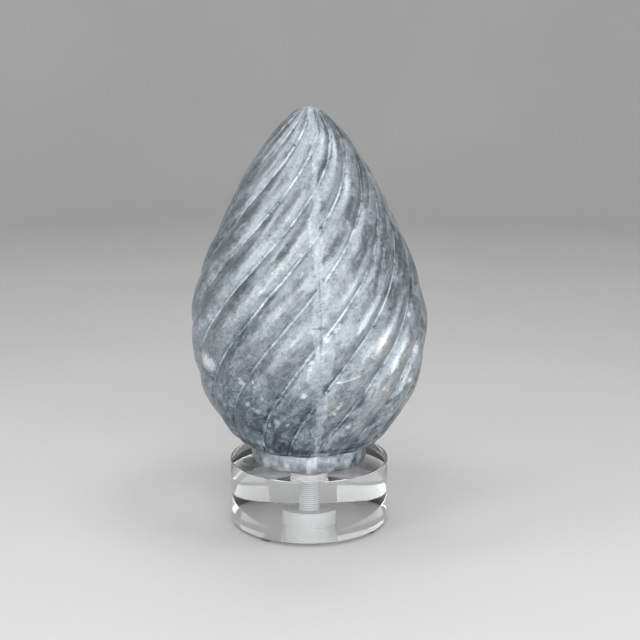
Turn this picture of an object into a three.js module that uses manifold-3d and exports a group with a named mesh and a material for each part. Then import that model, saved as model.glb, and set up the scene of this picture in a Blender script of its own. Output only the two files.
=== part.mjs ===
// Spiral-lobed roof finial in cast zinc, standing on a clear acrylic disc.
// Millimetres, Z up. The table is at Z = 0 and the axis of the finial is the Z axis.
// The front of the object looks along -Y, and angles around the axis are measured
// from the front towards +X.

import * as THREE from "three";
import { mergeVertices } from "three/addons/utils/BufferGeometryUtils.js";
import Module from "manifold-3d";

// Clearances between pieces that touch in the real object
const seatGap = 0.3;
const threadGap = 0.3;

// How far a joined or cut solid runs past the face that it meets
const joinOverlap = 1;

// Bumper feet under the disc
const footHeight = 2.3;
const footTopDiameter = 9.4;
const footSoleDiameter = 7.0;
const footCount = 4;
const footInset = 0.4;
const footTurn = -34;

// Acrylic disc
const discDiameter = 101.6;
const discThickness = 40;
const discEdgeBreak = 0.5;
const boltHoleDiameter = 8.7;
const counterboreDiameter = 23;
const counterboreDepth = 9.5;

// Bolt that holds the finial to the disc
const boltDiameter = 7.9;
const boltLength = 50.8;
const boltHeadAcrossFlats = 12.7;
const boltHeadSides = 6;
const boltHeadHeight = 5.4;

// Foot collar of the finial
const collarHeight = 11.9;
const collarSoleDiameter = 73.4;
const collarTopDiameter = 74.6;
const collarEdgeBreak = 0.8;
const boreExtraDepth = 2;

// Lobed body of the finial
const bodyHeight = 212;
const bodyDiameter = 148.9;
const bodyWidestShare = 0.353;

// Rounded underside of the body: how far it rises and how far it runs in to the collar
const undersideRise = 4;
const undersideRun = 7.5;

// Outline over the lobe crowns, as shares of the body's height and of its radius
const crownOutline = [
  [0, 0.618],
  [0.046, 0.7],
  [0.116, 0.832],
  [0.202, 0.945],
  [0.353, 1],
  [0.464, 0.959],
  [0.571, 0.857],
  [0.672, 0.722],
  [0.767, 0.59],
  [0.851, 0.449],
  [0.919, 0.308],
  [0.968, 0.175],
  [0.992, 0.086],
  [1, 0.022],
];

// Lobes, with the angle of their creases as a curve over the body's height
const lobeCount = 16;
const lobeDepthShare = 0.055;
const creaseDegrees = 2.5;
const twistDegrees = 139.3;
const twistDegreesSquared = 61.4;
const twistDegreesCubed = 5.1;

// Fineness of the facets
const pointsPerLobe = 6;
const bodyRows = 30;
const roundSegments = 72;
const smallSegments = 24;

// Heights that follow from the sizes above
const discSole = footHeight + seatGap;
const discTop = discSole + discThickness;
const collarSole = discTop + seatGap;
const bodySole = collarSole + collarHeight;
const bodyWidest = bodySole + bodyHeight * bodyWidestShare;
const bodyTip = bodySole + bodyHeight;
const bodyRadius = bodyDiameter / 2;
const boltShoulder = discSole + counterboreDepth - seatGap;
const boltEnd = boltShoulder + boltLength;

const wasm = await Module();
wasm.setup();

// Closed solid of a three.js geometry, for joining and cutting
function solidFrom(geometry) {
  const bare = geometry.index ? geometry.toNonIndexed() : geometry.clone();
  bare.deleteAttribute("normal");
  bare.deleteAttribute("uv");
  const merged = mergeVertices(bare, 1e-4);
  return new wasm.Manifold(
    new wasm.Mesh({
      numProp: 3,
      vertProperties: new Float32Array(merged.attributes.position.array),
      triVerts: new Uint32Array(merged.index.array),
    }),
  );
}

// three.js geometry of a closed solid
function geometryFrom(solid) {
  const mesh = solid.getMesh();
  const geometry = new THREE.BufferGeometry();
  const corners = new Float32Array(mesh.vertProperties);
  geometry.setAttribute("position", new THREE.BufferAttribute(corners, 3));
  geometry.setIndex(new THREE.BufferAttribute(new Uint32Array(mesh.triVerts), 1));
  geometry.computeVertexNormals();
  return geometry;
}

// Body turned around the Z axis from a list of [radius, height]
function turned(profile, segments) {
  const points = profile.map(([radius, height]) => new THREE.Vector2(radius, height));
  const geometry = new THREE.LatheGeometry(points, segments);
  geometry.rotateX(Math.PI / 2);
  return geometry;
}

// Point at a radius, an angle from the front and a height
function around(radius, degrees, height) {
  const angle = THREE.MathUtils.degToRad(degrees);
  return [radius * Math.sin(angle), -radius * Math.cos(angle), height];
}

// Angle of a crease at a height of the body
function creaseTurn(height) {
  const rise = (height - bodyWidest) / bodyHeight;
  const twist = twistDegrees * rise + twistDegreesSquared * rise ** 2;
  return creaseDegrees + twist + twistDegreesCubed * rise ** 3;
}

// Crown radii and heights of the rows, from the rounded underside to the tip
function crownRows() {
  const points = crownOutline.map(
    ([height, radius]) =>
      new THREE.Vector2(radius * bodyRadius, bodySole + height * bodyHeight),
  );
  const rimRadius = points[0].x;
  points[0].y += undersideRise;
  const outline = new THREE.SplineCurve(points).getSpacedPoints(bodyRows);
  const underside = [0, 0.33, 0.67].map((share) => {
    const turn = (share * Math.PI) / 2;
    return new THREE.Vector2(
      rimRadius - undersideRun * (1 - Math.sin(turn)),
      bodySole + undersideRise * (1 - Math.cos(turn)),
    );
  });
  return [...underside, ...outline];
}

// Lobed body as a closed grid that follows the creases
function lobedBody() {
  const count = lobeCount * pointsPerLobe;
  const rows = crownRows();
  const corners = [[0, 0, bodySole]];
  for (const { x: radius, y: height } of rows) {
    for (let i = 0; i < count; i += 1) {
      const across = ((i % pointsPerLobe) / pointsPerLobe) * 2 - 1;
      const lobed = radius * (1 - lobeDepthShare * across ** 2);
      corners.push(around(lobed, creaseTurn(height) + (i * 360) / count, height));
    }
  }
  corners.push([0, 0, bodyTip]);
  const tip = corners.length - 1;
  const faces = [];
  for (let i = 0; i < count; i += 1) {
    const next = (i + 1) % count;
    faces.push(0, 1 + next, 1 + i);
    for (let row = 0; row + 1 < rows.length; row += 1) {
      const low = 1 + row * count;
      const high = low + count;
      faces.push(low + i, low + next, high + next);
      faces.push(low + i, high + next, high + i);
    }
    const last = 1 + (rows.length - 1) * count;
    faces.push(last + i, last + next, tip);
  }
  const geometry = new THREE.BufferGeometry();
  geometry.setAttribute("position", new THREE.Float32BufferAttribute(corners.flat(), 3));
  geometry.setIndex(faces);
  return geometry;
}

// Finial: lobed body and foot collar in one casting, with a blind bore for the bolt
function finialBody() {
  const sole = collarSoleDiameter / 2;
  const top = collarTopDiameter / 2;
  const collar = turned(
    [
      [0, collarSole],
      [sole - collarEdgeBreak, collarSole],
      [sole, collarSole + collarEdgeBreak],
      [top, bodySole + joinOverlap],
      [0, bodySole + joinOverlap],
    ],
    roundSegments,
  );
  const boreRadius = boltDiameter / 2 + threadGap;
  const boreTop = boltEnd + boreExtraDepth;
  const bore = turned(
    [
      [0, collarSole - joinOverlap],
      [boreRadius, collarSole - joinOverlap],
      [boreRadius, boreTop],
      [0, boreTop],
    ],
    smallSegments,
  );
  const joined = solidFrom(lobedBody()).add(solidFrom(collar));
  return geometryFrom(joined.subtract(solidFrom(bore)));
}

// Disc with a hole for the bolt and a counterbore in its underside
function acrylicDisc() {
  const radius = discDiameter / 2;
  const ceiling = discSole + counterboreDepth;
  const profile = [
    [counterboreDiameter / 2, discSole],
    [radius - discEdgeBreak, discSole],
    [radius, discSole + discEdgeBreak],
    [radius, discTop - discEdgeBreak],
    [radius - discEdgeBreak, discTop],
    [boltHoleDiameter / 2, discTop],
    [boltHoleDiameter / 2, ceiling],
    [counterboreDiameter / 2, ceiling],
    [counterboreDiameter / 2, discSole],
  ];
  return turned(profile, roundSegments);
}

// Bolt with its head in the counterbore, plain at the size over its threads
function mountingBolt() {
  const outline = new THREE.Shape();
  const corner = boltHeadAcrossFlats / 2 / Math.cos(Math.PI / boltHeadSides);
  for (let i = 0; i < boltHeadSides; i += 1) {
    const [x, y] = around(corner, (i * 360) / boltHeadSides, 0);
    if (i === 0) outline.moveTo(x, y);
    else outline.lineTo(x, y);
  }
  outline.closePath();
  const options = { depth: boltHeadHeight, bevelEnabled: false };
  const head = new THREE.ExtrudeGeometry(outline, options);
  head.translate(0, 0, boltShoulder - boltHeadHeight);
  const radius = boltDiameter / 2;
  const shank = turned(
    [
      [0, boltShoulder - boltHeadHeight / 2],
      [radius, boltShoulder - boltHeadHeight / 2],
      [radius, boltEnd],
      [0, boltEnd],
    ],
    smallSegments,
  );
  return geometryFrom(solidFrom(head).add(solidFrom(shank)));
}

// Bumper foot: a short tapered stud with a flat sole
function bumperFoot(index) {
  const top = footTopDiameter / 2;
  const sole = footSoleDiameter / 2;
  const geometry = turned(
    [
      [0, 0],
      [sole, 0],
      [sole + (top - sole) * 0.75, footHeight * 0.4],
      [top, footHeight],
      [0, footHeight],
    ],
    smallSegments,
  );
  const circle = discDiameter / 2 - discEdgeBreak - footInset - top;
  const [x, y] = around(circle, footTurn + (index * 360) / footCount, 0);
  geometry.translate(x, y, 0);
  return geometry;
}

const zinc = new THREE.MeshStandardMaterial({
  color: 0x8b959b,
  roughness: 0.55,
  metalness: 0.6,
});
const acrylic = new THREE.MeshStandardMaterial({
  color: 0xf2f6f6,
  roughness: 0.04,
  metalness: 0,
  transparent: true,
  opacity: 0.3,
});
const boltSteel = new THREE.MeshStandardMaterial({
  color: 0xb9bbb8,
  roughness: 0.4,
  metalness: 0.85,
});

const finial = new THREE.Group();
finial.name = "spiral_lobed_finial";

// Adds one named piece to the finial
function place(name, geometry, material) {
  const mesh = new THREE.Mesh(geometry, material);
  mesh.name = name;
  finial.add(mesh);
}

place("finial_body", finialBody(), zinc);
place("acrylic_disc", acrylicDisc(), acrylic);
place("mounting_bolt", mountingBolt(), boltSteel);

for (let i = 0; i < footCount; i += 1) {
  const rubber = new THREE.MeshStandardMaterial({
    color: 0xe4e6e4,
    roughness: 0.25,
    metalness: 0,
    transparent: true,
    opacity: 0.5,
  });
  place("bumper_foot_" + (i + 1), bumperFoot(i), rubber);
}

export default finial;
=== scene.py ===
import math

import bpy
import numpy as np
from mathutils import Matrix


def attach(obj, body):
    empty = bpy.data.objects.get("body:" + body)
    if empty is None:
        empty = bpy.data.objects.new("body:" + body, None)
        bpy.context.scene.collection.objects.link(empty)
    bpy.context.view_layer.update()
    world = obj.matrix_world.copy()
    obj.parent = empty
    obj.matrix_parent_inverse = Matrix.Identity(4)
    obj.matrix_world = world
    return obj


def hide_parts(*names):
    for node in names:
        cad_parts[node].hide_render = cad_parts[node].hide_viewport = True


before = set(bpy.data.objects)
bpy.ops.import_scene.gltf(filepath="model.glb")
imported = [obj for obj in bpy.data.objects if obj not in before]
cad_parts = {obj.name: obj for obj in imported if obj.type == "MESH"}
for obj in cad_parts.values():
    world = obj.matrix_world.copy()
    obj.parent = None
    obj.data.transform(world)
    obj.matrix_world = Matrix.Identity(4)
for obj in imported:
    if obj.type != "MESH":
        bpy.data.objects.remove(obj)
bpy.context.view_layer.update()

MM = 0.001

# Sizes of the solids, in millimetres
SEAT_GAP = 0.3
THREAD_GAP = 0.3
FOOT_HEIGHT = 2.3
FOOT_TOP_RADIUS = 4.7
FOOT_SOLE_RADIUS = 3.5
FOOT_CIRCLE = 45.2
FOOT_TURN = -34.0
FOOT_COUNT = 4
DISC_RADIUS = 50.8
DISC_THICKNESS = 40.0
DISC_EDGE = 0.5
BOLT_HOLE_RADIUS = 4.35
COUNTERBORE_RADIUS = 11.5
COUNTERBORE_DEPTH = 9.5
BOLT_RADIUS = 3.95
BOLT_LENGTH = 50.8
HEAD_ACROSS_FLATS = 12.7
HEAD_HEIGHT = 5.4
COLLAR_HEIGHT = 11.9
COLLAR_SOLE_RADIUS = 36.7
COLLAR_TOP_RADIUS = 37.3
COLLAR_EDGE = 0.8
BODY_HEIGHT = 212.0
BODY_RADIUS = 74.45
WIDEST_SHARE = 0.353
UNDERSIDE_RISE = 4.0
UNDERSIDE_RUN = 7.5
LOBES = 16
LOBE_DEPTH = 0.055
LOBE_POWER = 2.0

# Angle of a crease over the body's height, in degrees, as the terms of a cubic curve
CREASE_TURN = 2.5
TWIST = 139.3
TWIST_SQUARED = 61.4
TWIST_CUBED = 5.1

# Fine relief that the solids leave out, in millimetres
WELT_HEIGHT = 0.45
WELT_WIDTH = 0.55
SEAM_HEIGHT = 0.34
SCRATCH_HEIGHT = 0.3
CRACK_DEPTH = 0.2
LINE_WIDTH = 0.8

# Width over which the edge of the solder fades, and the share of a lobe's depth that it fills
SEAM_FADE = 1.2
SEAM_FILL = 0.35

# Radius under which the relief gets finer, and the least share of it that is left at the tip
RELIEF_RADIUS = 16
LEAST_RELIEF = 0.12

# Size of the drawn specks for a listed size of 1
SPECK_SCALE = 0.72

# How deep the bore in the collar is drawn; the bolt hides the rest of it
BORE_DRAWN = 3.0

# Fineness of the finial's skin: rows over the body, how much closer together they lie at the tip,
# and the columns of half a lobe, from its crown at 0 towards its crease at 1
BODY_ROWS = 186
TIP_CROWDING = 0.035
HALF_LOBE = (0, 0.12, 0.24, 0.36, 0.48, 0.59, 0.69, 0.77, 0.84, 0.9, 0.945, 0.975)

# Largest distances, in millimetres, that the material is told: from a crease, and from a seam's
# edge, a scratch or a crack. A speck's distance is told in shares of its size.
GAP_REACH = 8
LINE_REACH = 6
SPECK_REACH = 3

# Heights that follow from the sizes
DISC_SOLE = FOOT_HEIGHT + SEAT_GAP
DISC_TOP = DISC_SOLE + DISC_THICKNESS
COLLAR_SOLE = DISC_TOP + SEAT_GAP
BODY_SOLE = COLLAR_SOLE + COLLAR_HEIGHT
BODY_TIP = BODY_SOLE + BODY_HEIGHT
BOLT_SHOULDER = DISC_SOLE + COUNTERBORE_DEPTH - SEAT_GAP
BOLT_END = BOLT_SHOULDER + BOLT_LENGTH

# Outline over the lobe crowns, as shares of the body's height and radius
CROWN_OUTLINE = [
    (0, 0.618),
    (0.046, 0.7),
    (0.116, 0.832),
    (0.202, 0.945),
    (0.353, 1),
    (0.464, 0.959),
    (0.571, 0.857),
    (0.672, 0.722),
    (0.767, 0.59),
    (0.851, 0.449),
    (0.919, 0.308),
    (0.968, 0.175),
    (0.992, 0.086),
    (1, 0.022),
]

# Large numbers that scatter a place and a seed into a value that looks random
SCATTER_X = 374761393
SCATTER_Y = 668265263
SCATTER_Z = 2147483647
SCATTER_SEED = 1274126177


# Value between -1 and 1 at a corner of the noise's grid
def lattice(ix, iy, iz, seed):
    n = ix * SCATTER_X + iy * SCATTER_Y + iz * SCATTER_Z + seed * SCATTER_SEED
    n = (n ^ (n >> 13)) * SCATTER_SEED
    n = n ^ (n >> 16)
    return (n & 0xFFFFF) / float(0xFFFFF) * 2 - 1


# Smooth noise in three dimensions, between -1 and 1, with blobs of the given size
def noise(x, y, z, size, seed):
    x, y, z = x / size, y / size, z / size
    ix, iy, iz = (np.floor(v).astype(np.int64) for v in (x, y, z))
    fx, fy, fz = x - ix, y - iy, z - iz
    fx, fy, fz = (f * f * f * (f * (f * 6 - 15) + 10) for f in (fx, fy, fz))
    total = 0
    for dx in (0, 1):
        for dy in (0, 1):
            for dz in (0, 1):
                weight = (fx if dx else 1 - fx) * (fy if dy else 1 - fy)
                weight = weight * (fz if dz else 1 - fz)
                total = total + weight * lattice(ix + dx, iy + dy, iz + dz, seed)
    return total


# Sum of noises, each given as its amount, its size in millimetres and its seed
def layered(x, y, z, layers):
    total = 0
    for amount, size, seed in layers:
        total = total + amount * noise(x, y, z, size, seed)
    return total


# Soft step from 0 to 1 between two values
def step(low, high, value):
    share = np.clip((value - low) / (high - low), 0, 1)
    return share * share * (3 - 2 * share)


# Bell curve: 1 at zero, and next to nothing at twice the width
def bell(value, width):
    return np.exp(-((value / width) ** 2))


# Mesh object from points in millimetres, with sharp edges over an angle where one is given
def mesh_object(name, points, faces, sharp_degrees):
    mesh = bpy.data.meshes.new(name)
    mesh.from_pydata((np.asarray(points, float) * MM).tolist(), [], faces)
    mesh.update()
    for polygon in mesh.polygons:
        polygon.use_smooth = True
    if sharp_degrees:
        mesh.set_sharp_from_angle(angle=math.radians(sharp_degrees))
    made = bpy.data.objects.new(name, mesh)
    bpy.context.scene.collection.objects.link(made)
    return made


# Four-sided faces between two rings of points, given by their first points
def band(low, high, columns):
    steps = [(j, (j + 1) % columns) for j in range(columns)]
    return [(low + j, low + k, high + k, high + j) for j, k in steps]


# Body turned around the Z axis. The profile closes on itself or starts and ends on the axis;
# only the floor's is left open at its end.
def turned(name, profile, segments, sharp_degrees):
    closed = profile[0] == profile[-1]
    ring_list = profile[:-1] if closed else profile
    points, rings = [], []
    for radius, height in ring_list:
        if radius < 1e-6:
            rings.append([len(points)])
            points.append((0, 0, height))
            continue
        start = len(points)
        for i in range(segments):
            turn = 2 * math.pi * i / segments
            points.append((radius * math.cos(turn), radius * math.sin(turn), height))
        rings.append(list(range(start, start + segments)))
    faces = []
    pairs = list(zip(rings, rings[1:]))
    if closed:
        pairs.append((rings[-1], rings[0]))
    for low, high in pairs:
        for i in range(segments):
            j = (i + 1) % segments
            if len(low) == 1:
                faces.append((low[0], high[j], high[i]))
            elif len(high) == 1:
                faces.append((low[i], low[j], high[0]))
            else:
                faces.append((low[i], low[j], high[j], high[i]))
    return mesh_object(name, points, faces, sharp_degrees)


# Value of every point for the materials
def attribute(made, name, values):
    layer = made.data.attributes.new(name, "FLOAT", "POINT")
    layer.data.foreach_set("value", np.asarray(values, np.float32).ravel())


# Crown radius and height of the body's rows, along a spline through the shares of the outline
def crown_rows():
    points = [(r * BODY_RADIUS, BODY_SOLE + h * BODY_HEIGHT) for h, r in CROWN_OUTLINE]
    points[0] = (points[0][0], BODY_SOLE + UNDERSIDE_RISE)
    points = np.array(points)
    fine = []
    for i in range(len(points) - 1):
        a = points[max(i - 1, 0)]
        b, c = points[i], points[i + 1]
        d = points[min(i + 2, len(points) - 1)]
        u = np.linspace(0, 1, 60, endpoint=False)[:, None]
        v0, v1 = (c - a) / 2, (d - b) / 2
        fine.append(
            (2 * b - 2 * c + v0 + v1) * u**3
            + (-3 * b + 3 * c - 2 * v0 - v1) * u**2
            + v0 * u
            + b
        )
    fine = np.vstack([*fine, points[-1:]])
    along = np.concatenate([[0], np.cumsum(np.hypot(*np.diff(fine, axis=0).T))])
    # Even rows up to the middle, and closer together towards the tip
    even = np.linspace(0, 1, BODY_ROWS)
    crowded = TIP_CROWDING * np.sin(2 * np.pi * even) * (even > 0.5)
    where = along[-1] * (even - crowded)
    return np.column_stack([np.interp(where, along, fine[:, i]) for i in (0, 1)])


# Angle of the first crease at a height, in degrees from the front
def crease_turn(height):
    rise = (height - BODY_SOLE) / BODY_HEIGHT - WIDEST_SHARE
    return CREASE_TURN + TWIST * rise + TWIST_SQUARED * rise**2 + TWIST_CUBED * rise**3


# Small shifts of the creases, in degrees, at three heights of the finial
SHIFT_HEIGHTS = (82, 139, 212)
CREASE_SHIFT = [
    (1.2, 0.2, 0.0),
    (-0.3, -1.2, 0.0),
    (-0.9, -1.2, -0.3),
    (0.3, 0.9, -0.3),
    (0.3, 0.4, -0.4),
    (0.8, -0.5, 0.4),
    (-0.4, 0.6, -0.6),
    (0.5, -0.4, 0.8),
    (-0.6, 0.3, -0.3),
    (0.3, -0.6, -1.2),
    (0.5, -0.8, -2.0),
    (0.6, -0.6, -1.5),
    (0.8, 0.3, 0.3),
    (1.0, 2.9, 0.4),
    (0.8, 2.4, -0.9),
    (0.8, 1.3, 0.6),
]

# Solder of the front seam: height over the disc's sole, and its left and right edge in degrees
FRONT_SEAM = [
    (43, -2, 9),
    (52, -1, 9),
    (60, 4.5, 9),
    (70, 3, 8),
    (76, 1, 9),
    (80, 3.5, 8.5),
    (86, 3.5, 10),
    (95, 4, 9.5),
    (100, 4.7, 9),
    (103, 3.6, 6.2),
    (106, 1, 6.5),
    (110, -1, 11.5),
    (118, 0.5, 12),
    (126, 3, 12.5),
    (131, 2.6, 12),
    (134, 1.8, 11),
    (137, 1.5, 6.5),
    (142, 1.2, 7.4),
    (150, 1.8, 9),
    (160, 3.2, 11),
    (166, 4.6, 12),
    (168, 4.7, 6.6),
    (172, 3.8, 6.9),
    (178, 3, 8.4),
    (184, 2.5, 9.4),
    (190, 0.5, 9.6),
    (194, 0, 8),
    (200, -0.5, 7),
    (207, 2.6, 9),
    (214, 3.4, 10),
    (219, 4.2, 8),
    (228, 4, 8.4),
    (236, 3.4, 11),
    (243, 2, 15),
    (252, -2, 18),
    (262, -10, 24),
]

# Solder of the back seam, which is hidden in the photograph
BACK_SEAM = [
    (43, 178, 190),
    (60, 181, 188),
    (80, 180, 187),
    (97, 182, 189),
    (104, 179, 190),
    (118, 180, 191),
    (129, 183, 188),
    (141, 181, 189),
    (158, 179, 189),
    (171, 182, 187),
    (186, 180, 190),
    (203, 181, 189),
    (219, 179, 188),
    (236, 177, 191),
    (262, 165, 205),
]

# Pale specks and patches: angle from the front, height over the disc's sole, size
SPECKS = [
    (-1.9, 100.5, 3.0),
    (-34.5, 105.0, 2.3),
    (-31.3, 92.4, 2.4),
    (-26.3, 88.0, 2.5),
    (-22.0, 78.6, 2.0),
    (-17.0, 82.0, 2.6),
    (-17.2, 78.5, 1.6),
    (-11.0, 80.0, 1.7),
    (-8.2, 84.5, 1.5),
    (-57.5, 113.0, 8.0),
    (-27.0, 107.0, 1.8),
    (-26.0, 104.0, 1.4),
    (15.2, 142.0, 1.9),
    (13.0, 140.0, 2.2),
    (9.0, 135.5, 3.4),
    (0.4, 116.8, 2.3),
    (1.6, 121.0, 1.8),
    (11.5, 170.0, 2.0),
    (15.5, 172.5, 1.8),
    (1.5, 189.0, 1.6),
    (-4.0, 181.5, 1.9),
    (59.0, 142.0, 2.4),
    (61.0, 100.0, 3.0),
    (66.0, 119.0, 6.0),
    (16.4, 95.0, 1.7),
    (14.9, 92.0, 2.0),
    (13.2, 88.5, 2.2),
    (23.0, 77.0, 1.7),
    (-35.0, 62.0, 3.5),
    (104.0, 150.0, 5.0),
    (97.0, 101.0, 2.2),
    (128.0, 96.0, 2.6),
    (133.0, 88.0, 1.8),
    (151.0, 182.0, 3.2),
    (-118.0, 88.0, 3.0),
    (-111.0, 82.0, 1.9),
    (-95.0, 160.0, 4.5),
    (-150.0, 120.0, 2.4),
    (-143.0, 101.0, 2.0),
    (169.0, 140.0, 3.4),
]

# A scratch, and cracks in the solder: points by angle from the front and height over the disc's sole
SCRATCH = [(11.9, 110.2), (12.4, 108.6), (14.5, 107.9), (17.5, 108.5), (21, 110), (25.3, 111.8)]
CRACKS = [
    [(5.7, 172), (5.9, 158), (6.1, 146), (6.3, 134), (5.8, 124), (5.7, 111)],
    [(1.3, 141.6), (4.2, 141.2), (8, 141.6)],
    [(185.2, 166), (184.6, 150), (184.9, 136), (185.6, 121)],
    [(180.5, 133.4), (184, 133), (188, 133.6)],
]

# Shallow dents: angle from the front, height over the disc's sole, width and depth
DENTS = [
    (63, 133, 9, 0.8),
    (75, 150, 7, 0.7),
    (-70, 96, 10, 0.6),
    (140, 120, 11, 0.8),
]

# Places where the crowns of the lobes are worn to smooth metal, low on the right and high on the
# left: angle from the front, height over the disc's sole, width in degrees, height and amount
WORN_SPOTS = [
    (40, 96, 30, 36, 1.2),
    (-22, 186, 24, 28, 0.45),
]

# Noises of the surface: amount, size in millimetres and seed
BODY_DENTS = [(0.42, 19, 21), (0.2, 9, 22), (0.07, 3.6, 23)]
COLLAR_DENTS = [(0.4, 10, 31), (0.2, 4.4, 32)]
COLLAR_PATCHES = [(0.2, 8, 51), (0.34, 3.4, 52)]


# Angle from one bearing to another, between -180 and 180 degrees
def turn_from(at, bearing):
    return (bearing - at + 180) % 360 - 180


# Distance in millimetres from points of the surface to a place on it
def spot_gap(at, up, bearing, over_disc, radius):
    return np.hypot(np.radians(turn_from(at, bearing)) * radius, over_disc - up)


# Soft spot on the surface, 1 in its middle, with its width in degrees and its height
def soft_spot(at, up, wide, tall, bearing, over_disc):
    return np.exp(-(((bearing - at) / wide) ** 2) - (((over_disc - up) / tall) ** 2))


# Distance in millimetres from points of the surface to a line on it
def line_gap(line, bearing, over_disc, radius):
    nearest = np.full_like(radius, 1e3)
    for (az0, up0), (az1, up1) in zip(line, line[1:]):
        x0 = np.radians(turn_from(az0, bearing)) * radius
        y0 = over_disc - up0
        dx, dy = np.radians(az1 - az0) * radius, up1 - up0
        share = np.clip((x0 * dx + y0 * dy) / (dx * dx + dy * dy), 0, 1)
        nearest = np.minimum(nearest, np.hypot(x0 - share * dx, y0 - share * dy))
    return nearest


# Signed distance in millimetres into a seam, positive inside it
def seam_inside(table, bearing, over_disc, radius):
    rows = np.array(table, float)
    left = np.interp(over_disc, rows[:, 0], rows[:, 1])
    right = np.interp(over_disc, rows[:, 0], rows[:, 2])
    middle, half = (left + right) / 2, (right - left) / 2
    off = np.abs(turn_from(middle, bearing))
    return np.radians(half - off) * radius


# Outline of the finial in five parts, as points of radius and height: the bore with the sole, the
# wall of the collar, the ledge over it, the rounded underside and the rows of the body
def finial_outline():
    bore = BOLT_RADIUS + THREAD_GAP
    sole = [(bore, COLLAR_SOLE + BORE_DRAWN), (bore, COLLAR_SOLE)]
    sole += [(r, COLLAR_SOLE) for r in (12.0, 22.0, 30.0, 34.5)]
    sole += [
        (COLLAR_SOLE_RADIUS - COLLAR_EDGE, COLLAR_SOLE),
        (COLLAR_SOLE_RADIUS - 0.3, COLLAR_SOLE + 0.18),
        (COLLAR_SOLE_RADIUS - 0.05, COLLAR_SOLE + 0.5),
    ]
    spread = COLLAR_TOP_RADIUS - COLLAR_SOLE_RADIUS
    wall = []
    for share in np.linspace(0.12, 0.97, 9):
        wall.append((COLLAR_SOLE_RADIUS + spread * share, COLLAR_SOLE + COLLAR_HEIGHT * share))
    rows = crown_rows()
    rim = []
    for share in (0.1, 0.25, 0.4, 0.55, 0.7, 0.85):
        turn = share * math.pi / 2
        inward = UNDERSIDE_RUN * (1 - math.sin(turn))
        rim.append((rows[0, 0] - inward, BODY_SOLE + UNDERSIDE_RISE * (1 - math.cos(turn))))
    ledge_ends = (COLLAR_TOP_RADIUS + 0.3, rim[0][0] - 0.4)
    ledge = [(r, BODY_SOLE) for r in np.linspace(*ledge_ends, 3)]
    return sole, wall, ledge, rim, rows


# Small shift of one crease over the height, in degrees
def crease_wander(crease, height):
    shift = np.interp(height, SHIFT_HEIGHTS, CREASE_SHIFT[crease])
    return shift + 0.35 * noise(height, height * 0 + crease * 31.7, height * 0, 34, 3)


# Faces of a closed skin of rings, with a point under it and a point over it at the end of the list
def skin_faces(rings, columns):
    faces = []
    for ring in range(rings - 1):
        faces += band(ring * columns, (ring + 1) * columns, columns)
    bottom = rings * columns
    last, tip = bottom - columns, bottom + 1
    for j in range(columns):
        k = (j + 1) % columns
        faces.append((bottom, k, j))
        faces.append((last + j, last + k, tip))
    return faces


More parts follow.
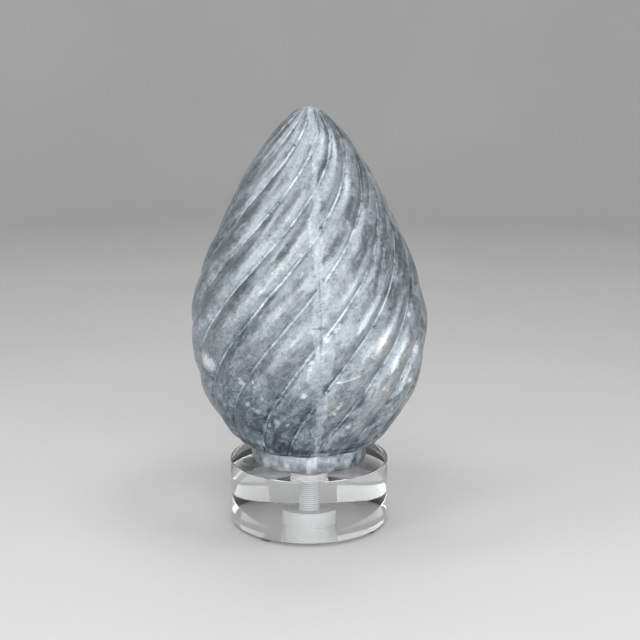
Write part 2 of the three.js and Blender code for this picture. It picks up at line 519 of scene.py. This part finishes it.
# Grid of the finial's skin, with a ring for each point of the outline and a column for each place
# across the lobes. Its arrays have a row for each ring.
class Skin:
    def __init__(self):
        # Columns across the lobes, with the creases at -1 and 1
        across = np.array([-1, *[-v for v in HALF_LOBE[:0:-1]], *HALF_LOBE])
        self.columns = LOBES * len(across)
        self.lobe = np.repeat(np.arange(LOBES), len(across))
        self.across = np.tile(across, LOBES)
        # Rings, with the first of the collar's wall, of the body and of its full lobes
        sole, wall, ledge, rim, rows = finial_outline()
        self.profile = np.vstack([sole, wall, ledge, rim, rows])
        self.rings = len(self.profile)
        self.wall_from = len(sole)
        self.body_from = self.wall_from + len(wall)
        self.lobed_from = self.body_from + len(ledge)
        ring = np.arange(self.rings)[:, None]
        every = np.ones(self.columns)
        self.radius = self.profile[:, 0][:, None] * every
        self.height = self.profile[:, 1][:, None] * every
        self.over_disc = self.height - DISC_SOLE
        self.on_body = (ring >= self.body_from) * every
        # Share of the lobes: none on the collar, growing over the ledge
        self.lobed = np.zeros((self.rings, 1))
        self.lobed[self.body_from : self.lobed_from, 0] = np.linspace(0.15, 0.9, len(ledge))
        self.lobed[self.lobed_from :, 0] = 1
        # Share of the relief, which gets finer where the finial is thin
        self.small = np.clip(self.radius / RELIEF_RADIUS, LEAST_RELIEF, 1)
        # Outward direction of the profile
        slope = np.gradient(self.profile, axis=0)
        spacing = np.maximum(np.hypot(slope[:, 0], slope[:, 1]), 1e-9)
        self.out_r = (slope[:, 1] / spacing)[:, None]
        self.out_z = (-slope[:, 0] / spacing)[:, None]
        # Angle of every point, from the turn of the spiral, its place in the lobe and the shifts
        turn = crease_turn(np.maximum(self.profile[:, 1], BODY_SOLE))[:, None]
        wander = np.stack([crease_wander(k, self.profile[:, 1]) for k in range(LOBES)], 1)
        side = (self.across + 1) / 2
        wander = wander[:, self.lobe] * (1 - side) + wander[:, (self.lobe + 1) % LOBES] * side
        angle = turn + (self.lobe + side) * (360 / LOBES) + wander
        self.around = np.radians(angle)
        self.bearing = (angle + 180) % 360 - 180
        self.here = (self.bearing, self.over_disc, self.radius)
        x, y = self.radius * np.sin(self.around), -self.radius * np.cos(self.around)
        self.place = (x, y, self.height)
        # Distance to the nearest crease, square to it
        sideways = self.profile[:, 0] * np.radians(np.gradient(turn[:, 0]))
        self.lean = np.arctan(np.clip(sideways / spacing, -1.2, 1.2))[:, None]
        to_crease = (1 - np.abs(self.across)) * self.radius * math.pi / LOBES
        self.gap = to_crease * np.cos(self.lean)
        # Seams where the two halves of the shell are soldered together
        seam = np.maximum(seam_inside(FRONT_SEAM, *self.here), seam_inside(BACK_SEAM, *self.here))
        seam = seam + 0.9 * noise(*self.place, 7, 12) * self.small
        self.seam = np.clip(seam, -LINE_REACH, LINE_REACH)
        self.filled = step(-SEAM_FADE, SEAM_FADE, self.seam) * (ring >= self.wall_from)
        # Distances to the scratch and to the nearest crack
        self.scratch = np.clip(line_gap(SCRATCH, *self.here), 0, LINE_REACH)
        crack = np.min([line_gap(line, *self.here) for line in CRACKS], axis=0)
        self.crack = np.clip(crack, 0, LINE_REACH)


# Fine relief of the skin along its outward direction, in millimetres
def skin_relief(skin):
    welt_noise = 0.4 + 0.6 * step(-0.35, 0.35, noise(*skin.place, 17, 7))
    welt = bell(skin.gap, WELT_WIDTH * skin.small) * skin.lobed * welt_noise
    body_dents = layered(*skin.place, BODY_DENTS)
    collar_dents = layered(*skin.place, COLLAR_DENTS)
    on_body = body_dents + WELT_HEIGHT * welt * (1 - 0.75 * skin.filled)
    relief = skin.on_body * on_body * skin.small
    relief = relief + (1 - skin.on_body) * collar_dents * (skin.height > COLLAR_SOLE + 0.1)
    solder_noise = 1 + 0.7 * noise(*skin.place, 6, 41)
    relief = relief + SEAM_HEIGHT * skin.filled * skin.small * solder_noise
    relief = relief + SCRATCH_HEIGHT * bell(skin.scratch, LINE_WIDTH)
    relief = relief - CRACK_DEPTH * bell(skin.crack, LINE_WIDTH)
    for at, up, size, deep in DENTS:
        relief = relief - deep * bell(spot_gap(at, up, *skin.here), size) * skin.on_body
    return relief


# Points of the skin with its lobes and its relief, and the two points that close it
def skin_points(skin):
    depth = LOBE_DEPTH * (1 - SEAM_FILL * skin.filled * skin.on_body)
    depth = depth * (1 + 0.1 * noise(*skin.place, 45, 5))
    lobed_radius = skin.radius * (1 - depth * np.abs(skin.across) ** LOBE_POWER * skin.lobed)
    relief = skin_relief(skin)
    radius = np.maximum(lobed_radius + skin.out_r * relief, 0.2)
    height = skin.height + skin.out_z * relief
    # The bore and the sole stay smooth, and the ledge stays clear of the collar
    radius[: skin.wall_from] = skin.radius[: skin.wall_from]
    height[: skin.wall_from] = skin.height[: skin.wall_from]
    ledge = slice(skin.body_from, skin.lobed_from)
    height[ledge] = np.maximum(height[ledge], BODY_SOLE - 0.2)
    x, y = radius * np.sin(skin.around), -radius * np.cos(skin.around)
    points = np.stack([x, y, height], -1).reshape(-1, 3).tolist()
    return points + [[0, 0, COLLAR_SOLE + BORE_DRAWN], [0, 0, BODY_TIP]]


# Distance to the nearest speck, in shares of its size
def speck_distance(skin):
    nearest = np.full_like(skin.radius, SPECK_REACH)
    for at, up, size in SPECKS:
        nearest = np.minimum(nearest, spot_gap(at, up, *skin.here) / (SPECK_SCALE * size))
    return nearest


# Crowns of the lobes that are worn to smooth metal
def worn_crowns(skin):
    worn = np.zeros_like(skin.radius)
    for at, up, wide, tall, amount in WORN_SPOTS:
        spot = soft_spot(at, up, wide, tall, skin.bearing, skin.over_disc)
        worn = np.maximum(worn, amount * spot)
    worn = worn * (1 - step(0.3, 0.85, np.abs(skin.across))) * skin.on_body
    return np.clip(worn * (1 + 0.5 * noise(*skin.place, 13, 61)), 0, 1)


# Broad tone, partly patina and partly painted shade: darker low down and most of all low on the
# left. The collar is patchy and lightened overall, with painted light at its front and painted shade
# towards its right
def broad_patina_and_painted_shade(skin, low):
    low_left = soft_spot(-42, 80, 34, 34, skin.bearing, skin.over_disc)
    patina_and_painted_shade = -0.22 * low_left - 0.13 * low
    # Painted light on the front of the collar and painted shade towards its right side
    collar_painted_light = 0.12 * bell(skin.bearing - 6, 15) - 0.1 * bell(skin.bearing - 45, 30)
    collar_patches_and_painted_light = 0.25 + layered(*skin.place, COLLAR_PATCHES) + collar_painted_light
    return patina_and_painted_shade + collar_patches_and_painted_light * (1 - skin.on_body)


# Values of the skin that its material reads
def write_looks(made, skin):
    # Writes a value for every point of the rings, and for the two points that close the skin
    def write(name, values, bottom_value, tip_value):
        ends = [bottom_value, tip_value]
        attribute(made, name, np.concatenate([(values * np.ones_like(skin.radius)).ravel(), ends]))

    low = 1 - step(55, 125, skin.over_disc)
    gap = np.clip(skin.gap / skin.small, 0, GAP_REACH) + GAP_REACH * (1 - skin.lobed)
    write("gap", gap, GAP_REACH, GAP_REACH / 2)
    write("worn", worn_crowns(skin), 0, 0)
    write("seam", skin.seam, -LINE_REACH, 0)
    write("speck", speck_distance(skin), SPECK_REACH, SPECK_REACH)
    write("scratch", skin.scratch, LINE_REACH, LINE_REACH)
    write("crack", skin.crack, LINE_REACH, LINE_REACH)
    # Broad tone: patina mixed with painted shade low down and on the lower left, and painted light
    # on the collar
    write("patina_and_painted_shade", broad_patina_and_painted_shade(skin, low), -0.2, 0)
    write("collar", 1 - skin.on_body, 1, 0)
    # Stronger low down: more streak contrast, darker crease sides and dimmer welts, partly dirt and
    # partly painted shade
    write("grime_and_painted_shade", (0.25 + 0.75 * low) * skin.on_body, 0, 0.2)


# Place of each point on its lobe, across and along it in metres, with a number that parts the lobes
def write_lobe_place(made, skin):
    steps = np.hypot(*np.diff(skin.profile, axis=0).T)
    along = np.concatenate([[0], np.cumsum(steps)])[:, None]
    every = np.ones(skin.columns)
    place = np.stack(
        [
            skin.across * skin.radius * math.pi / LOBES * MM,
            along / np.cos(skin.lean) * every * MM,
            skin.lobe * 0.37 * np.ones_like(skin.radius),
        ],
        -1,
    ).reshape(-1, 3)
    place = np.vstack([place, [[0, 0, 0], [0, 0, 0]]])
    layer = made.data.attributes.new("lobe_place", "FLOAT_VECTOR", "POINT")
    layer.data.foreach_set("vector", place.astype(np.float32).ravel())


# The finial in one closed skin: spiral lobes, welts in the creases, seams, dents and the collar
def finial_surface():
    skin = Skin()
    faces = skin_faces(skin.rings, skin.columns)
    made = mesh_object("finial_surface", skin_points(skin), faces, 60)
    write_looks(made, skin)
    write_lobe_place(made, skin)
    return made


# Clear disc with small rounded edges, a hole with the rings of the drill, and a counterbore
def disc_surface():
    ring_depth, ring_step, ring_count, first_ring = 0.2, 0.62, 47, 0.4
    ceiling = DISC_SOLE + COUNTERBORE_DEPTH
    inner = DISC_RADIUS - DISC_EDGE
    bends = [(math.sin(k * math.pi / 8), math.cos(k * math.pi / 8)) for k in (1, 2, 3)]
    profile = [(COUNTERBORE_RADIUS, DISC_SOLE), (inner, DISC_SOLE)]
    for sine, cosine in bends:
        inward, up = DISC_EDGE * (1 - sine), DISC_EDGE * (1 - cosine)
        profile.append((DISC_RADIUS - inward, DISC_SOLE + up))
    profile.append((DISC_RADIUS, DISC_SOLE + DISC_EDGE))
    profile.append((DISC_RADIUS, DISC_TOP - DISC_EDGE))
    for sine, cosine in bends:
        inward, down = DISC_EDGE * (1 - cosine), DISC_EDGE * (1 - sine)
        profile.append((DISC_RADIUS - inward, DISC_TOP - down))
    profile += [(inner, DISC_TOP), (BOLT_HOLE_RADIUS, DISC_TOP)]
    for k in range(ring_count):
        ring_height = DISC_TOP - first_ring - ring_step * k
        profile.append((BOLT_HOLE_RADIUS - ring_depth * (k % 2), ring_height))
    profile += [
        (BOLT_HOLE_RADIUS, ceiling),
        (COUNTERBORE_RADIUS, ceiling),
        (COUNTERBORE_RADIUS, DISC_SOLE),
    ]
    return turned("disc_surface", profile, 256, 35)


# Bolt with a cut thread and a six-sided head
def bolt_surface():
    pitch, thread_depth = 1.41, 0.78
    fade_in, fade_out = 0.8, 1.6
    point_length, point_depth = 0.8, 0.45
    columns, per_turn = 48, 8
    turns = [2 * math.pi * j / columns for j in range(columns)]
    rows = int(BOLT_LENGTH / pitch * per_turn)
    points, faces = [], []
    for i in range(rows + 1):
        z = BOLT_SHOULDER + BOLT_LENGTH * i / rows
        fade = max(min(1, (BOLT_END - z) / fade_out, (z - BOLT_SHOULDER) / fade_in), 0.0)
        point = point_depth * (1 - max(0, min(1, (BOLT_END - z) / point_length)))
        for j, turn in enumerate(turns):
            phase = ((z - BOLT_SHOULDER) / pitch - j / columns) % 1
            wave = abs(phase * 2 - 1)
            cut = thread_depth * (1 - min(1, max(0, wave * 1.25 - 0.12)))
            radius = BOLT_RADIUS - cut * fade - point
            points.append((radius * math.cos(turn), radius * math.sin(turn), z))
    for i in range(rows):
        faces += band(i * columns, (i + 1) * columns, columns)
    top = len(points)
    points.append((0, 0, BOLT_END))
    last = rows * columns
    for j in range(columns):
        faces.append((last + j, last + (j + 1) % columns, top))
    # Head: rings that run from round edges to flats, as scale, share of the flats and height
    half_flats = HEAD_ACROSS_FLATS / 2
    low = BOLT_SHOULDER - HEAD_HEIGHT
    rings = [
        (0.86, 0.0, low),
        (0.97, 0.55, low + 0.45),
        (1.0, 1.0, low + 1.0),
        (1.0, 1.0, BOLT_SHOULDER - 0.5),
        (0.98, 0.8, BOLT_SHOULDER),
    ]
    start = len(points)
    for scale, hexed, z in rings:
        for turn in turns:
            sector = (math.degrees(turn) + 30) % 60 - 30
            flat = half_flats / math.cos(math.radians(sector))
            radius = scale * (half_flats * (1 - hexed) + flat * hexed)
            points.append((radius * math.sin(turn), -radius * math.cos(turn), z))
    for i in range(len(rings) - 1):
        faces += band(start + i * columns, start + (i + 1) * columns, columns)
    sole, shoulder = len(points), len(points) + 1
    points.append((0, 0, low))
    points.append((0, 0, BOLT_SHOULDER))
    high = start + (len(rings) - 1) * columns
    for j in range(columns):
        k = (j + 1) % columns
        faces.append((sole, start + k, start + j))
        faces.append((shoulder, high + j, high + k))
        faces.append((shoulder, k, j))
    return mesh_object("bolt_surface", points, faces, 40)


# Clear bumper foot with a rounded edge, hanging under the disc
def foot_surface(index):
    lip = 0.12
    profile = [(0, 0), (FOOT_SOLE_RADIUS - 0.5, 0), (FOOT_SOLE_RADIUS, lip)]
    spread = FOOT_TOP_RADIUS - FOOT_SOLE_RADIUS
    for k in range(1, 7):
        turn = k * math.pi / 12
        rise = (FOOT_HEIGHT - 0.5) * (1 - math.cos(turn))
        profile.append((FOOT_SOLE_RADIUS + spread * math.sin(turn), lip + rise))
    profile += [(FOOT_TOP_RADIUS, FOOT_HEIGHT), (0, FOOT_HEIGHT)]
    made = turned("foot_surface_%d" % (index + 1), profile, 48, 40)
    angle = math.radians(FOOT_TURN + 360 / FOOT_COUNT * index)
    made.location = (FOOT_CIRCLE * math.sin(angle) * MM, -FOOT_CIRCLE * math.cos(angle) * MM, 0)
    return made


# New node material with its tree and its shader
def new_material(name):
    material = bpy.data.materials.new(name)
    material.use_nodes = True
    tree = material.node_tree
    return material, tree, tree.nodes["Principled BSDF"]


# New node with settings
def node(tree, kind, **values):
    made = tree.nodes.new(kind)
    for key, value in values.items():
        setattr(made, key, value)
    return made


# Sum, product and the like of two values, each a number or the output of a node
def maths(tree, operation, a, b, clamp=False):
    made = node(tree, "ShaderNodeMath", operation=operation, use_clamp=clamp)
    for slot, value in enumerate((a, b)):
        if isinstance(value, (int, float)):
            made.inputs[slot].default_value = value
        else:
            tree.links.new(value, made.inputs[slot])
    return made.outputs[0]


# The four operations that the materials use most
def plus(tree, a, b):
    return maths(tree, "ADD", a, b)


def minus(tree, a, b):
    return maths(tree, "SUBTRACT", a, b)


def times(tree, a, b):
    return maths(tree, "MULTIPLY", a, b)


def larger(tree, a, b):
    return maths(tree, "MAXIMUM", a, b)


# Coordinates of the object, in metres
def object_coords(tree):
    return node(tree, "ShaderNodeTexCoord").outputs["Object"]


# Coordinates stretched along one axis
def stretched(tree, vector, scale):
    made = node(tree, "ShaderNodeMapping")
    made.inputs["Scale"].default_value = scale
    tree.links.new(vector, made.inputs["Vector"])
    return made.outputs["Vector"]


# Clouds of noise, finer with a larger scale
def noise_node(tree, vector, scale, detail, roughness, distortion=0.0):
    made = node(tree, "ShaderNodeTexNoise")
    made.inputs["Scale"].default_value = scale
    made.inputs["Detail"].default_value = detail
    made.inputs["Roughness"].default_value = roughness
    made.inputs["Distortion"].default_value = distortion
    tree.links.new(vector, made.inputs["Vector"])
    return made.outputs["Fac"]


# Value that was written to the points of the mesh
def named(tree, name, output="Fac"):
    made = node(tree, "ShaderNodeAttribute", attribute_name=name)
    return made.outputs[output]


# Colour of a value, from stops of position and colour
def ramp(tree, value, stops):
    made = node(tree, "ShaderNodeValToRGB")
    elements = made.color_ramp.elements
    while len(elements) < len(stops):
        elements.new(0.5)
    for element, (position, colour) in zip(elements, stops):
        element.position = position
        element.color = (*colour, 1)
    tree.links.new(value, made.inputs["Fac"])
    return made.outputs["Color"]


# Grey level of a value, from stops of position and level
def grey_ramp(tree, value, stops):
    return ramp(tree, value, [(p, (g, g, g)) for p, g in stops])


# Value moved to swing around zero, times a gain
def centred(tree, value, gain):
    return times(tree, minus(tree, value, 0.5), gain)


# Colours a shader by a value
def paint(tree, shader, value, stops):
    tree.links.new(ramp(tree, value, stops), shader.inputs["Base Color"])


# Colours of the zinc from dark to light, bare and under its oxide
BARE_COLOURS = [
    (0.0, (0.062, 0.087, 0.108)),
    (0.25, (0.155, 0.194, 0.226)),
    (0.5, (0.34, 0.373, 0.395)),
    (0.75, (0.53, 0.56, 0.58)),
    (1.0, (0.8, 0.83, 0.855)),
]
OXIDE_COLOURS = [
    (0.0, (0.072, 0.107, 0.138)),
    (0.25, (0.165, 0.217, 0.264)),
    (0.5, (0.335, 0.388, 0.435)),
    (0.75, (0.51, 0.57, 0.625)),
    (1.0, (0.78, 0.835, 0.88)),
]


# Weathered zinc: oxide, painted shade beside the creases, specks, solder, worn crowns, a scratch and
# cracks
def zinc_material():
    material, tree, shader = new_material("weathered_zinc")
    coords = object_coords(tree)
    streak_coords = stretched(tree, named(tree, "lobe_place", "Vector"), (1, 0.4, 1))
    broad = noise_node(tree, coords, 26, 3, 0.5, 0.4)
    clouds = noise_node(tree, coords, 90, 6, 0.66, 0.7)
    streaks = noise_node(tree, streak_coords, 170, 7, 0.68, 0.5)
    mottle = noise_node(tree, coords, 420, 5, 0.68, 0.3)
    grain = noise_node(tree, coords, 1500, 3, 0.62)
    gap = plus(tree, named(tree, "gap"), centred(tree, mottle, 0.5))
    # Pale blue oxide in ragged patches, thicker towards the creases, over the bare metal
    crown = grey_ramp(tree, times(tree, gap, 1 / GAP_REACH), [(0.15, 1.0), (0.9, 0.0)])
    crown = centred(tree, crown, 0.06)
    oxide_sum = plus(tree, streaks, centred(tree, clouds, 0.5))
    oxide_sum = plus(tree, oxide_sum, centred(tree, mottle, 0.3))
    oxide_sum = plus(tree, oxide_sum, crown)
    oxide = grey_ramp(tree, oxide_sum, [(0.46, 0.0), (0.53, 0.6), (0.66, 1.0)])
    worn = named(tree, "worn")
    unworn = minus(tree, 1.0, times(tree, worn, 0.75))
    oxide = times(tree, oxide, unworn)
    oxide = larger(tree, oxide, times(tree, named(tree, "collar"), 0.6))
    tone = plus(tree, 0.5, centred(tree, broad, 0.25))
    tone = plus(tree, tone, centred(tree, clouds, 0.4))
    # Dirt mixed with painted shade, stronger towards the bottom
    grime_and_painted_shade = named(tree, "grime_and_painted_shade")
    streak_gain = plus(tree, 0.35, times(tree, grime_and_painted_shade, 1.1))
    streak_tone = times(tree, centred(tree, streaks, 1.0), streak_gain)
    tone = plus(tree, tone, streak_tone)
    tone = plus(tree, tone, centred(tree, mottle, 0.62))
    tone = plus(tree, tone, centred(tree, grain, 0.6))
    # Broad tone, part patina and part painted shade low down, with painted light on the collar
    tone = plus(tree, tone, named(tree, "patina_and_painted_shade"))
    tone = plus(tree, tone, times(tree, worn, 0.1))
    # Solder of the seams, with ragged edges and upright brush marks
    ragged = centred(tree, mottle, 3.2)
    seam = times(tree, plus(tree, named(tree, "seam"), ragged), 0.1)
    seam = grey_ramp(tree, seam, [(0.0, 0.0), (0.07, 1.0)])
    brushed = noise_node(tree, stretched(tree, coords, (1, 1, 0.15)), 700, 4, 0.6, 0.6)
    seam_tone = plus(tree, 0.13, centred(tree, brushed, 0.45))
    seam_tone = plus(tree, seam_tone, centred(tree, clouds, 0.2))
    tone = plus(tree, tone, times(tree, seam, seam_tone))
    oxide = larger(tree, oxide, times(tree, seam, 0.9))
    # Worn welts in the creases, broken by dark pits, and painted shade beside them that is stronger
    # low down
    near = times(tree, gap, 1 / GAP_REACH)
    line = grey_ramp(tree, near, [(0.04, 1.0), (0.1, 0.0)])
    line = times(tree, line, grey_ramp(tree, clouds, [(0.42, 0.05), (0.57, 1.0)]))
    # Painted shade in a narrow band beside each crease
    crease_shade_and_pits = grey_ramp(tree, near, [(0.07, 0.0), (0.13, 1.0), (0.2, 0.5), (0.34, 0.0)])
    crease_shade_and_pits = times(tree, crease_shade_and_pits, grey_ramp(tree, streaks, [(0.4, 1.0), (0.6, 0.1)]))
    pits = grey_ramp(tree, near, [(0.1, 1.0), (0.24, 0.0)])
    pits = times(tree, pits, grey_ramp(tree, mottle, [(0.34, 1.0), (0.42, 0.0)]))
    open_crease = minus(tree, 1.0, times(tree, seam, 0.7))
    line = times(tree, line, open_crease)
    crease_shade_and_pits = larger(tree, crease_shade_and_pits, times(tree, pits, 1.8))
    crease_shade_and_pits = times(tree, crease_shade_and_pits, open_crease)
    line_gain = minus(tree, 0.42, times(tree, grime_and_painted_shade, 0.22))
    tone = plus(tree, tone, times(tree, line, line_gain))
    crease_shade_gain = plus(tree, 0.17, times(tree, grime_and_painted_shade, 0.2))
    tone = minus(tree, tone, times(tree, crease_shade_and_pits, crease_shade_gain))
    # Pale specks, a scratch and cracks
    speck_edge = plus(tree, named(tree, "speck"), centred(tree, mottle, 3.2))
    speck_edge = plus(tree, speck_edge, centred(tree, grain, 2.4))
    speck = grey_ramp(tree, times(tree, speck_edge, 0.5), [(0.44, 1.0), (0.5, 0.0)])
    flecks = plus(tree, mottle, centred(tree, clouds, 0.35))
    flecks = minus(tree, flecks, times(tree, named(tree, "patina_and_painted_shade"), 0.2))
    speck = larger(tree, speck, grey_ramp(tree, flecks, [(0.66, 0.0), (0.7, 0.5)]))
    tone = plus(tree, tone, times(tree, speck, 0.42))
    scratch = grey_ramp(tree, named(tree, "scratch"), [(0.35, 1.0), (0.8, 0.0)])
    tone = plus(tree, tone, times(tree, scratch, 0.4))
    crack_edge = plus(tree, named(tree, "crack"), centred(tree, grain, 0.4))
    crack = grey_ramp(tree, crack_edge, [(0.3, 1.0), (0.9, 0.0)])
    tone = maths(tree, "SUBTRACT", tone, times(tree, crack, 0.36), clamp=True)
    bare_colour = ramp(tree, tone, BARE_COLOURS)
    oxide_colour = ramp(tree, tone, OXIDE_COLOURS)
    mix = node(tree, "ShaderNodeMix", data_type="RGBA")
    tree.links.new(oxide, mix.inputs["Factor"])
    tree.links.new(bare_colour, mix.inputs["A"])
    tree.links.new(oxide_colour, mix.inputs["B"])
    tree.links.new(mix.outputs["Result"], shader.inputs["Base Color"])
    # Oxide, solder and specks are less metallic and rougher, and worn crowns smoother
    matte = larger(tree, times(tree, oxide, 0.75), times(tree, seam, 0.8))
    matte = larger(tree, matte, speck)
    metallic = minus(tree, 0.85, times(tree, matte, 0.45))
    tree.links.new(metallic, shader.inputs["Metallic"])
    rough = plus(tree, 0.34, times(tree, matte, 0.16))
    rough = plus(tree, rough, centred(tree, mottle, 0.12))
    rough = minus(tree, rough, times(tree, worn, 0.12))
    tree.links.new(rough, shader.inputs["Roughness"])
    height = plus(tree, times(tree, mottle, 0.5), times(tree, grain, 0.12))
    height = plus(tree, height, times(tree, clouds, 0.6))
    height = plus(tree, height, times(tree, speck, 0.3))
    height = plus(tree, height, times(tree, seam, 0.25))
    height = minus(tree, height, times(tree, pits, 0.4))
    smooth = minus(tree, 1.0, times(tree, worn, 0.7))
    height = times(tree, height, smooth)
    bump = node(tree, "ShaderNodeBump")
    bump.inputs["Strength"].default_value = 0.32
    bump.inputs["Distance"].default_value = 0.0008
    tree.links.new(height, bump.inputs["Height"])
    tree.links.new(bump.outputs["Normal"], shader.inputs["Normal"])
    return material


# Clear polished acrylic of the disc
def acrylic_material():
    material, _, shader = new_material("clear_acrylic")
    shader.inputs["Base Color"].default_value = (0.985, 0.99, 0.992, 1)
    shader.inputs["Roughness"].default_value = 0.0
    shader.inputs["IOR"].default_value = 1.49
    shader.inputs["Transmission Weight"].default_value = 1.0
    return material


# Frosted wall and ceiling of the counterbore
def frosted_material():
    material, tree, shader = new_material("frosted_acrylic")
    marks = noise_node(tree, object_coords(tree), 900, 3, 0.6)
    paint(tree, shader, marks, [(0.3, (0.93, 0.935, 0.94)), (0.7, (0.98, 0.982, 0.985))])
    shader.inputs["Roughness"].default_value = 0.5
    return material


# Rings left by the drill in the wall of the bolt hole, with painted shade in their grooves
def drilled_ring_shade_material():
    material, tree, shader = new_material("drilled_acrylic_ring_shade")
    coords = object_coords(tree)
    rings = node(tree, "ShaderNodeTexWave", wave_type="BANDS", bands_direction="Z")
    rings.inputs["Scale"].default_value = 254
    rings.inputs["Distortion"].default_value = 0.6
    rings.inputs["Detail"].default_value = 2
    tree.links.new(coords, rings.inputs["Vector"])
    # Darker bands are painted shade in the grooves of the rings
    stops = [(0.15, (0.64, 0.66, 0.68)), (0.7, (0.95, 0.96, 0.97))]
    paint(tree, shader, rings.outputs["Fac"], stops)
    shader.inputs["Roughness"].default_value = 0.35
    return material


# Dull plated steel of the bolt
def steel_material():
    material, tree, shader = new_material("bolt_steel")
    cloud = noise_node(tree, object_coords(tree), 300, 4, 0.6)
    paint(tree, shader, cloud, [(0.3, (0.5, 0.5, 0.49)), (0.7, (0.78, 0.78, 0.76))])
    shader.inputs["Metallic"].default_value = 0.9
    tree.links.new(grey_ramp(tree, cloud, [(0.3, 0.42), (0.7, 0.28)]), shader.inputs["Roughness"])
    return material


# Clear soft plastic of the feet
def foot_material():
    material, tree, shader = new_material("clear_bumper")
    cloud = noise_node(tree, object_coords(tree), 500, 3, 0.5)
    paint(tree, shader, cloud, [(0.3, (0.6, 0.62, 0.62)), (0.7, (0.78, 0.8, 0.8))])
    shader.inputs["Roughness"].default_value = 0.12
    shader.inputs["IOR"].default_value = 1.45
    shader.inputs["Transmission Weight"].default_value = 0.9
    return material


zinc = zinc_material()
acrylic = acrylic_material()
frosted = frosted_material()
drilled = drilled_ring_shade_material()
steel = steel_material()
bumper = foot_material()

finial = finial_surface()
finial.data.materials.append(zinc)
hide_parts("finial_body")
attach(finial, "root")

disc = disc_surface()
disc.data.materials.append(acrylic)
disc.data.materials.append(frosted)
disc.data.materials.append(drilled)
# The wall of the bolt hole is drilled, and the counterbore is frosted
MARGIN = 0.01
for polygon in disc.data.polygons:
    cx, cy, cz = polygon.center
    from_axis = math.hypot(cx, cy) / MM
    inside = (DISC_SOLE + MARGIN) * MM < cz < (DISC_TOP - MARGIN) * MM
    if inside and from_axis < BOLT_HOLE_RADIUS:
        polygon.material_index = 2
    elif inside and from_axis < COUNTERBORE_RADIUS + MARGIN:
        polygon.material_index = 1
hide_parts("acrylic_disc")
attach(disc, "root")

bolt = bolt_surface()
bolt.data.materials.append(steel)
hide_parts("mounting_bolt")
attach(bolt, "root")

for index in range(FOOT_COUNT):
    foot = foot_surface(index)
    foot.data.materials.append(bumper)
    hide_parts("bumper_foot_%d" % (index + 1))
    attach(foot, "root")


# Pale round floor that sweeps up into a wall all round, a hair under the soles of the feet
def floor_sweep():
    bend, reach, wall_top = 600.0, 2000.0, 2600.0
    drop = 0.00005
    steps = 12
    outline = [(0.0, 0.0), (reach - bend, 0.0)]
    for k in range(1, steps + 1):
        turn = k * math.pi / (2 * steps)
        outline.append((reach - bend + bend * math.sin(turn), bend * (1 - math.cos(turn))))
    outline.append((reach, wall_top))
    made = turned("floor", outline, 96, None)
    material, tree, shader = new_material("pale_floor")
    cloud = noise_node(tree, object_coords(tree), 3, 3, 0.5)
    paint(tree, shader, cloud, [(0.3, (0.72, 0.72, 0.715)), (0.7, (0.76, 0.76, 0.755))])
    shader.inputs["Roughness"].default_value = 0.7
    made.data.materials.append(material)
    made.location.z = -drop


floor_sweep()


# Height that the lights look at, in metres
LOOK_HEIGHT = 0.15


# Soft light of a given width and height, in metres, that looks at the finial
def softbox(name, bearing, elevation, distance, width, tall, power):
    data = bpy.data.lights.new(name, "AREA")
    data.shape = "RECTANGLE"
    data.size, data.size_y = width, tall
    data.energy = power
    lamp = bpy.data.objects.new(name, data)
    a, e = math.radians(bearing), math.radians(elevation)
    offset = (math.cos(e) * math.sin(a), -math.cos(e) * math.cos(a), math.sin(e))
    lamp.location = (offset[0] * distance, offset[1] * distance, LOOK_HEIGHT + offset[2] * distance)
    lamp.rotation_euler = (math.pi / 2 - e, 0, a)
    bpy.context.scene.collection.objects.link(lamp)


# Soft boxes of the studio: bearing and elevation in degrees from the front, and power
STUDIO = [
    (-78, 3, 0.3),
    (-78, 42, 1.0),
    (-78, 64, 1.1),
    (-48, 3, 1.2),
    (-48, 22, 1.0),
    (-20, 3, 2.1),
    (-20, 22, 0.6),
    (-20, 64, 1.4),
    (5, 22, 1.25),
    (5, 42, 1.25),
    (28, 3, 1.3),
    (28, 22, 0.7),
    (52, 3, 1.0),
    (52, 64, 1.9),
    (78, 3, 1.1),
    (78, 64, 1.0),
]
# Distance and width of these boxes in metres, and the watts of a power of 1
BOX_DISTANCE = 1.1
BOX_WIDTH = 0.3
BOX_WATTS = 0.9
for number, (bearing, elevation, power) in enumerate(STUDIO):
    watts = power * BOX_WATTS
    softbox("box_%d" % number, bearing, elevation, BOX_DISTANCE, BOX_WIDTH, BOX_WIDTH, watts)
softbox("low_right", 67, -8, 0.6, 0.12, 0.1, 0.35)
softbox("back_top", 180, 62, 1.6, 1.4, 1.0, 6)

world = bpy.data.worlds.new("studio")
world.use_nodes = True
background = world.node_tree.nodes["Background"]
background.inputs["Color"].default_value = (0.92, 0.94, 0.96, 1)
background.inputs["Strength"].default_value = 0.12
bpy.context.scene.world = world
bpy.context.scene.view_settings.view_transform = "Standard"

# Camera fitted to the photograph: focal length and width of the picture in pixels, width of the
# sensor in millimetres, place in metres with its height over the disc's sole, and tilt in degrees
FOCAL_PIXELS = 1242
PICTURE_PIXELS = 640
SENSOR_WIDTH = 36
CAMERA_ACROSS = 0.00705
CAMERA_BACK = 0.7677
CAMERA_UP = 0.3034
CAMERA_DOWN = 12.72
camera_data = bpy.data.cameras.new("camera")
camera_data.sensor_width = SENSOR_WIDTH
camera_data.lens = FOCAL_PIXELS / PICTURE_PIXELS * SENSOR_WIDTH
camera = bpy.data.objects.new("camera", camera_data)
camera.location = (CAMERA_ACROSS, -CAMERA_BACK, CAMERA_UP + DISC_SOLE * MM)
camera.rotation_euler = (math.radians(90 - CAMERA_DOWN), 0, 0)
bpy.context.scene.collection.objects.link(camera)
bpy.context.scene.camera = camera
